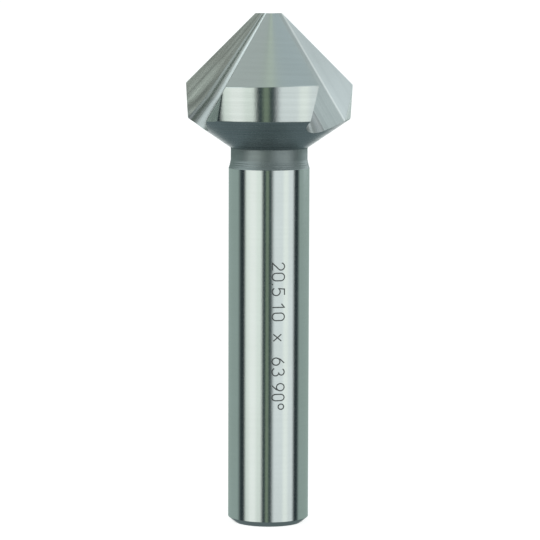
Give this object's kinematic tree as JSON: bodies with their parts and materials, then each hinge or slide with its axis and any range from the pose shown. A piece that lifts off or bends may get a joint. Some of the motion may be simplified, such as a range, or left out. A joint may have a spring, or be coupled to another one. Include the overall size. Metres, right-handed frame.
{
  "type": "countersink bit",
  "caption": "Conical countersink for a drill chuck: plain round shank, thin neck, wide head with a 90 degree cutting cone and ground flutes.",
  "frame": {"origin": "centre of the flat end of the shank, on the axis of the bit", "axes": "+Z along the axis of the bit from the shank end to the nose; -Y towards the picture's camera"},
  "size_m": [0.0204, 0.0199, 0.063],
  "materials": {
    "tool_steel": "bright ground high-speed steel with fine circular grinding marks"
  },
  "bodies": {
    "root": {"countersink_bit": "tool_steel"}
  },
  "joints": []
}
